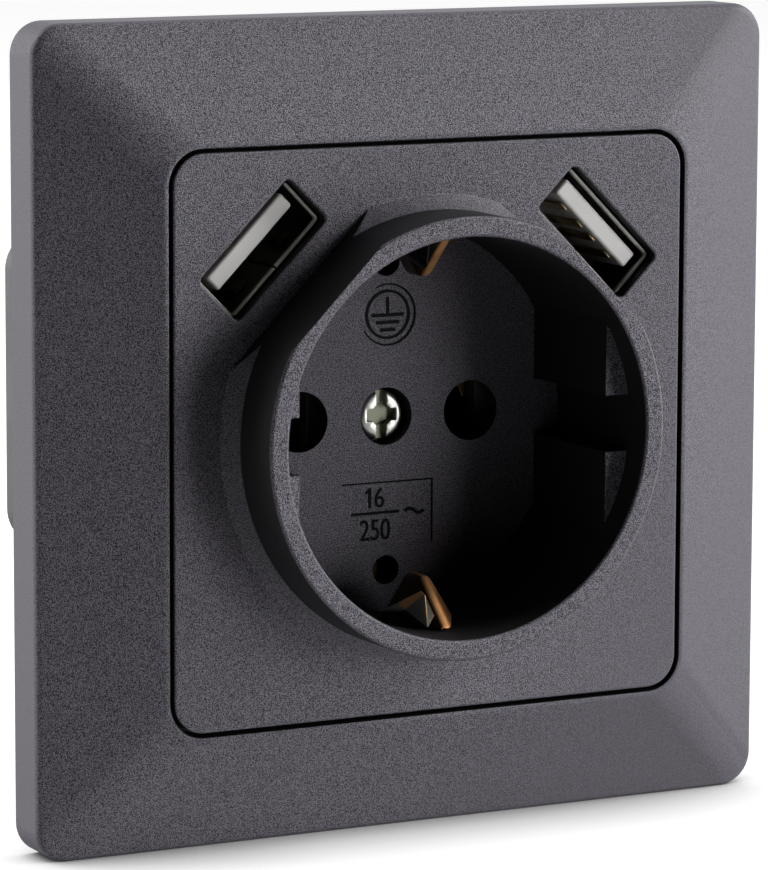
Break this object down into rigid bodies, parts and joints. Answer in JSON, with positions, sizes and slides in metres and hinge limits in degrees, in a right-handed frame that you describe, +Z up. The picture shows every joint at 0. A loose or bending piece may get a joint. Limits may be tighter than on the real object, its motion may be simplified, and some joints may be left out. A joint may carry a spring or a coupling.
{
  "type": "usb wall socket",
  "caption": "Square flush wall socket: sloped cover frame, raised round earthed cup, diagonal USB charging outlets above it and a housed insert with spreading claws behind.",
  "frame": {"origin": "centre of the box-screw slots in the plane of the wall, which is also the plane of the cover frame's rear rim", "axes": "+Z up, +X to the right seen from the room, -Y out of the wall into the room"},
  "size_m": [0.08, 0.0522, 0.08],
  "materials": {
    "anthracite": "dark grey lacquer with a fine metallic grain, satin",
    "zinc_screw": "zinc plated",
    "ring_steel": "galvanised sheet",
    "housing": "moulded, fine matt",
    "contact_brass": "stamped",
    "bronze": "spring bronze, bright",
    "shell_nickel": "nickel plated",
    "white_insulator": "moulded white",
    "contact_gold": "gold flash",
    "board_green": "solder mask",
    "ferrite": "sintered",
    "coil_tape": "tape",
    "can_metal": "sleeved can",
    "chip_black": "moulded",
    "lead_copper": "tinned copper"
  },
  "bodies": {
    "socket": {"cover_frame": "anthracite", "centre_plate": "anthracite", "centre_screw": "zinc_screw", "support_ring": "ring_steel", "ring_rivets": "ring_steel", "socket_base": "housing", "rear_cover": "housing", "housing_screws": "zinc_screw", "line_contact": "contact_brass", "neutral_contact": "contact_brass", "earth_strap": "bronze", "line_clamp": "contact_brass", "neutral_clamp": "contact_brass", "earth_clamp": "contact_brass", "terminal_screws": "zinc_screw", "usb_shell_left": "shell_nickel", "usb_shell_right": "shell_nickel", "usb_tongue_left": "white_insulator", "usb_tongue_right": "white_insulator", "usb_contacts_left": "contact_gold", "usb_contacts_right": "contact_gold", "usb_board": "board_green", "power_board": "board_green", "transformer_core": "ferrite", "transformer_coil": "coil_tape", "capacitors": "can_metal", "board_chips": "chip_black", "board_leads": "lead_copper", "supply_leads": "lead_copper", "claw_pins": "zinc_screw"},
    "left_claw": {"claw_left": "ring_steel"},
    "right_claw": {"claw_right": "ring_steel"},
    "left_claw_screw": {"claw_screw_left": "zinc_screw"},
    "right_claw_screw": {"claw_screw_right": "zinc_screw"}
  },
  "joints": [
    {"name": "left_screw_feed", "type": "slide", "parent": "socket", "child": "left_claw_screw", "axis": [0, 1, 0], "range_m": [0, 0.0016]},
    {"name": "right_screw_feed", "type": "slide", "parent": "socket", "child": "right_claw_screw", "axis": [0, 1, 0], "range_m": [0, 0.0016]},
    {"name": "left_claw_swing", "type": "hinge", "parent": "socket", "child": "left_claw", "pos_m": [-0.0274, 0.0045, -0.006], "axis": [0, 0, 1], "range_deg": [0, 28]},
    {"name": "right_claw_swing", "type": "hinge", "parent": "socket", "child": "right_claw", "pos_m": [0.0274, 0.0045, -0.006], "axis": [0, 0, -1], "range_deg": [0, 28]}
  ],
  "couplings": [
    {"joint": "left_claw_swing", "follows": "left_screw_feed", "rad_per_m": 305},
    {"joint": "right_claw_swing", "follows": "right_screw_feed", "rad_per_m": 305}
  ]
}
